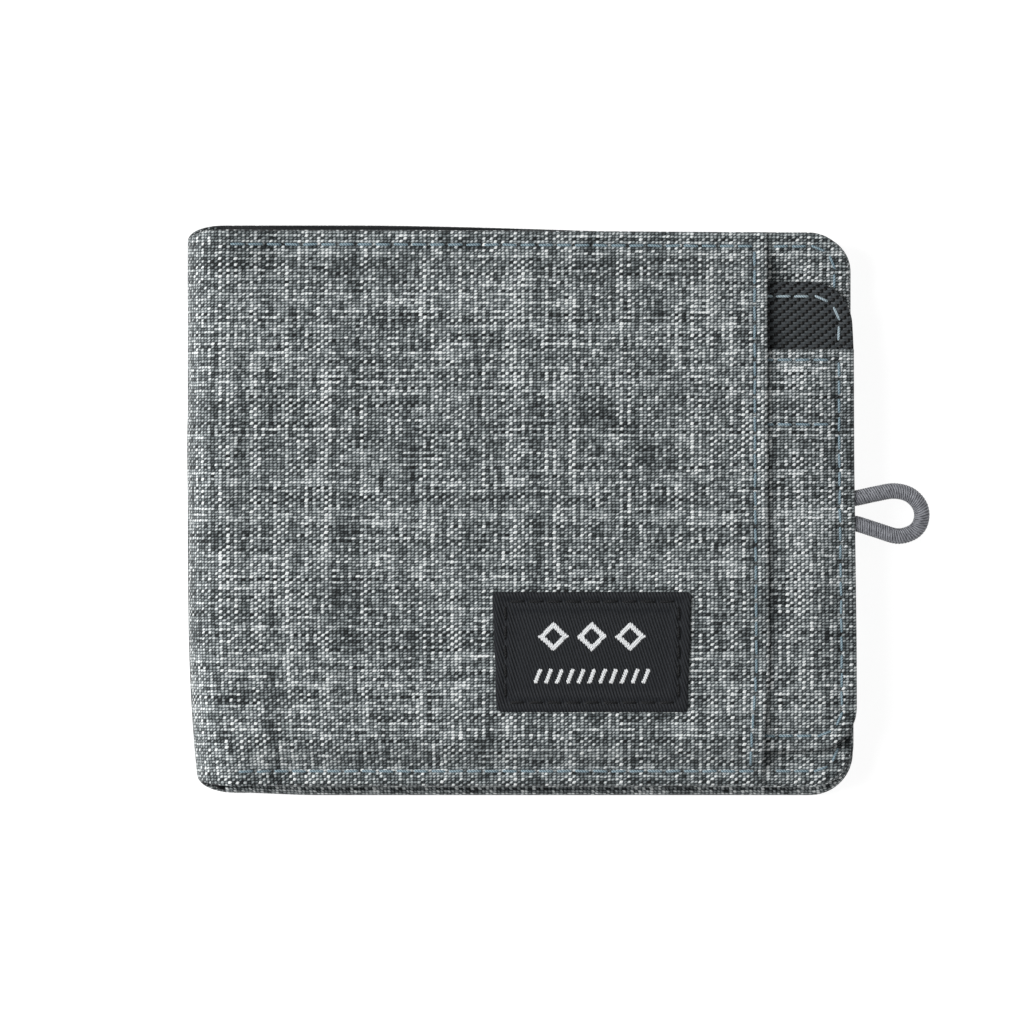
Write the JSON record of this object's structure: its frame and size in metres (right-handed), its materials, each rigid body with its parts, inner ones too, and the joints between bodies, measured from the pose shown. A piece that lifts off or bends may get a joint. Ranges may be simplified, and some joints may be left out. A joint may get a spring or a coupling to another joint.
{
  "type": "bifold wallet",
  "caption": "Cloth bifold wallet with a hinged fold, inner card slots, a note pocket and a front slip pocket that holds a pull-out card holder with an elastic loop.",
  "frame": {"origin": "middle of the closed wallet's back cover, on the surface it lies on, measured without the pull loop", "axes": "+X from the fold to the free edge, +Y along the fold towards the open side of the note pocket, +Z from the back cover up to the front cover"},
  "size_m": [0.1236, 0.0946, 0.0144],
  "materials": {
    "grey_cloth": "heathered grey plain weave, matt",
    "black_lining": "smooth black nylon lining cloth",
    "foam": "thin white padding",
    "black_twill": "black twill, matt",
    "board": "plain stiffening sheet",
    "label_cloth": "fine black woven label",
    "white_thread": "white woven thread",
    "black_thread": "black sewing thread",
    "blue_grey_thread": "pale blue-grey polyester sewing thread, slight sheen",
    "elastic_cord": "grey braided elastic, finely ribbed"
  },
  "bodies": {
    "back_half": {"back_cover": "grey_cloth", "back_padding": "foam", "back_lining": "black_lining", "back_note_wall": "black_lining", "back_slot_1": "black_lining", "back_slot_2": "black_lining", "back_slot_3": "black_lining", "back_slot_stitches": "blue_grey_thread", "back_edge_stitches": "blue_grey_thread"},
    "fold": {"fold_cover": "grey_cloth", "fold_lining": "black_lining", "fold_note_wall": "black_lining"},
    "front_half": {"front_pocket_panel": "grey_cloth", "front_base_panel": "grey_cloth", "front_padding": "foam", "front_lining": "black_lining", "front_note_wall": "black_lining", "front_slot_1": "black_lining", "front_slot_2": "black_lining", "front_slot_3": "black_lining", "front_slot_stitches": "blue_grey_thread", "front_edge_stitches": "blue_grey_thread", "pocket_hem_stitches": "blue_grey_thread", "woven_label": "label_cloth", "label_motif": "white_thread", "label_stitches": "black_thread"},
    "card_holder": {"holder_back": "black_twill", "holder_board": "board", "holder_face": "black_twill", "holder_pocket": "grey_cloth", "holder_edge_stitches": "blue_grey_thread", "holder_band_stitches": "blue_grey_thread", "pull_loop": "elastic_cord"}
  },
  "joints": [
    {"name": "fold_lower", "type": "hinge", "parent": "back_half", "child": "fold", "pos_m": [-0.05412, 0, 0.00148], "axis": [0, -1, 0], "range_deg": [0, 90]},
    {"name": "fold_upper", "type": "hinge", "parent": "fold", "child": "front_half", "pos_m": [-0.05412, 0, 0.01232], "axis": [0, -1, 0], "range_deg": [0, 90]},
    {"name": "holder_slide", "type": "slide", "parent": "front_half", "child": "card_holder", "axis": [1, 0, 0], "range_m": [0, 0.1]}
  ],
  "couplings": [
    {"joint": "fold_lower", "follows": "fold_upper", "ratio": 1}
  ]
}
